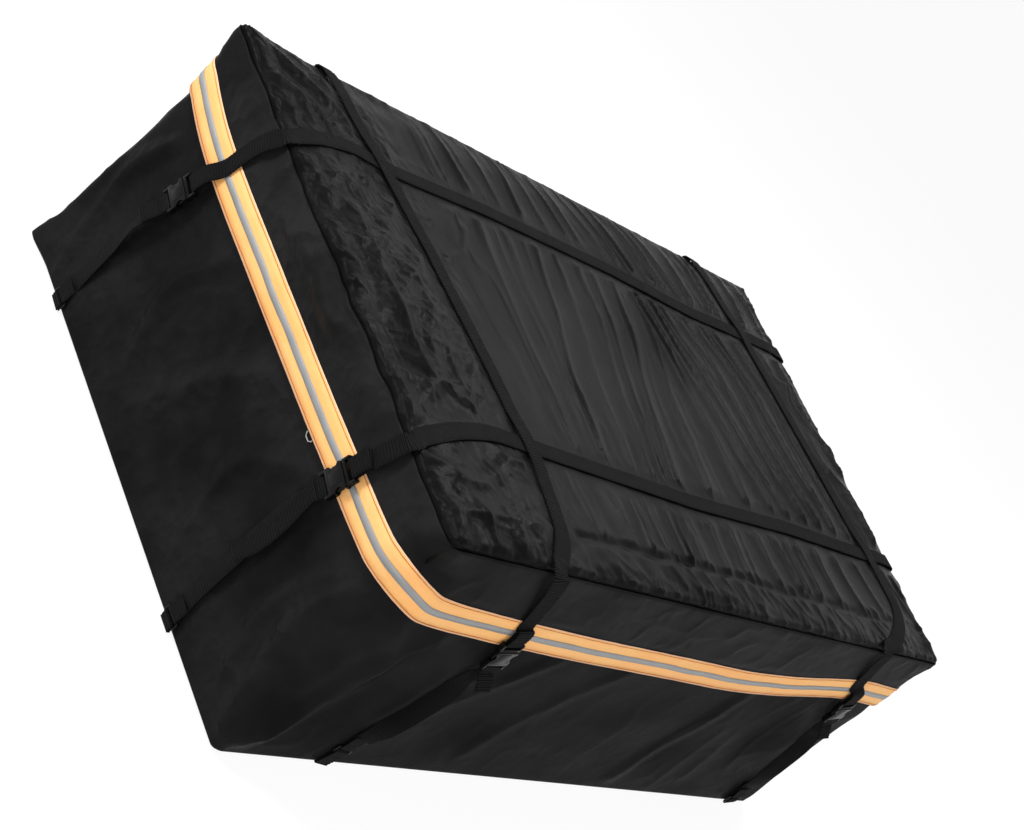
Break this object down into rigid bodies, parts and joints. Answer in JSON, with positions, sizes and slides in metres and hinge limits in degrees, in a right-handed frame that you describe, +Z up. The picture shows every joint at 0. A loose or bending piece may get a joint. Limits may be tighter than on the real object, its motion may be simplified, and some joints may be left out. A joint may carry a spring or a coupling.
{
  "type": "roof cargo bag",
  "caption": "Soft rectangular roof cargo bag, filled and zipped shut, with a zip flap, an orange reflective tape and webbing hold-down straps on side-release buckles.",
  "frame": {"origin": "centre of the outline seen from above, at the flat underside", "axes": "+X along the long side, +Y along the short side, +Z up"},
  "size_m": [1.2538, 0.8558, 0.4457],
  "materials": {
    "coated_nylon": "semi-gloss coated weave",
    "orange_tape": "satin woven tape",
    "silver_reflector": "retroreflective satin",
    "zip_tape": "matt",
    "slider_metal": "satin",
    "pull_cord": "matt",
    "buckle_plastic": "gloss",
    "webbing": "matt ribbed weave"
  },
  "bodies": {
    "bag": {"top_cover": "coated_nylon", "bag_body": "coated_nylon", "side_flap": "coated_nylon", "reflective_tape": "orange_tape", "reflective_stripe": "silver_reflector", "zip_chain": "zip_tape", "top_strap_rear": "webbing", "male_buckle_rear_left": "buckle_plastic", "lower_strap_rear_left": "webbing", "strap_ring_rear_left": "buckle_plastic", "ring_tab_rear_left": "webbing", "male_buckle_rear_right": "buckle_plastic", "lower_strap_rear_right": "webbing", "strap_ring_rear_right": "buckle_plastic", "ring_tab_rear_right": "webbing", "top_strap_front": "webbing", "male_buckle_front_left": "buckle_plastic", "lower_strap_front_left": "webbing", "strap_ring_front_left": "buckle_plastic", "ring_tab_front_left": "webbing", "male_buckle_front_right": "buckle_plastic", "lower_strap_front_right": "webbing", "strap_ring_front_right": "buckle_plastic", "ring_tab_front_right": "webbing", "top_strap_left": "webbing", "male_buckle_left_front": "buckle_plastic", "lower_strap_left_front": "webbing", "strap_ring_left_front": "buckle_plastic", "ring_tab_left_front": "webbing", "male_buckle_left_back": "buckle_plastic", "lower_strap_left_back": "webbing", "strap_ring_left_back": "buckle_plastic", "ring_tab_left_back": "webbing", "top_strap_right": "webbing", "male_buckle_right_front": "buckle_plastic", "lower_strap_right_front": "webbing", "strap_ring_right_front": "buckle_plastic", "ring_tab_right_front": "webbing", "male_buckle_right_back": "buckle_plastic", "lower_strap_right_back": "webbing", "strap_ring_right_back": "buckle_plastic", "ring_tab_right_back": "webbing"},
    "rear_left_release": {"female_buckle_rear_left": "buckle_plastic"},
    "rear_right_release": {"female_buckle_rear_right": "buckle_plastic"},
    "front_left_release": {"female_buckle_front_left": "buckle_plastic"},
    "front_right_release": {"female_buckle_front_right": "buckle_plastic"},
    "left_front_release": {"female_buckle_left_front": "buckle_plastic"},
    "left_back_release": {"female_buckle_left_back": "buckle_plastic"},
    "right_front_release": {"female_buckle_right_front": "buckle_plastic"},
    "right_back_release": {"female_buckle_right_back": "buckle_plastic"},
    "zip_runner_left": {"zip_slider_left": "slider_metal", "zip_pull_left": "pull_cord"},
    "zip_runner_right": {"zip_slider_right": "slider_metal", "zip_pull_right": "pull_cord"}
  },
  "joints": [
    {"name": "rear_left_buckle_slide", "type": "slide", "parent": "bag", "child": "rear_left_release", "axis": [-0.0222, 0.1766, -0.984], "range_m": [0, 0.024], "deforming": ["lower_strap_rear_left"]},
    {"name": "rear_right_buckle_slide", "type": "slide", "parent": "bag", "child": "rear_right_release", "axis": [-0.0146, 0.0403, -0.9991], "range_m": [0, 0.024], "deforming": ["lower_strap_rear_right"]},
    {"name": "front_left_buckle_slide", "type": "slide", "parent": "bag", "child": "front_left_release", "axis": [0.017, 0.1557, -0.9877], "range_m": [0, 0.024], "deforming": ["lower_strap_front_left"]},
    {"name": "front_right_buckle_slide", "type": "slide", "parent": "bag", "child": "front_right_release", "axis": [0.0152, -0.0271, -0.9995], "range_m": [0, 0.024], "deforming": ["lower_strap_front_right"]},
    {"name": "left_front_buckle_slide", "type": "slide", "parent": "bag", "child": "left_front_release", "axis": [0.1698, -0.0074, -0.9855], "range_m": [0, 0.024], "deforming": ["lower_strap_left_front"]},
    {"name": "left_back_buckle_slide", "type": "slide", "parent": "bag", "child": "left_back_release", "axis": [-0.0668, 0.0087, -0.9977], "range_m": [0, 0.024], "deforming": ["lower_strap_left_back"]},
    {"name": "right_front_buckle_slide", "type": "slide", "parent": "bag", "child": "right_front_release", "axis": [0.2729, -0.0195, -0.9618], "range_m": [0, 0.024], "deforming": ["lower_strap_right_front"]},
    {"name": "right_back_buckle_slide", "type": "slide", "parent": "bag", "child": "right_back_release", "axis": [-0.0268, 0.0308, -0.9992], "range_m": [0, 0.024], "deforming": ["lower_strap_right_back"]},
    {"name": "zip_left_slide", "type": "slide", "parent": "bag", "child": "zip_runner_left", "axis": [-0.0061, 1, -0.002], "range_m": [-0.065, 0.25]},
    {"name": "zip_right_slide", "type": "slide", "parent": "bag", "child": "zip_runner_right", "axis": [0.0178, 0.9998, 0.0073], "range_m": [-0.18, 0.18]}
  ]
}
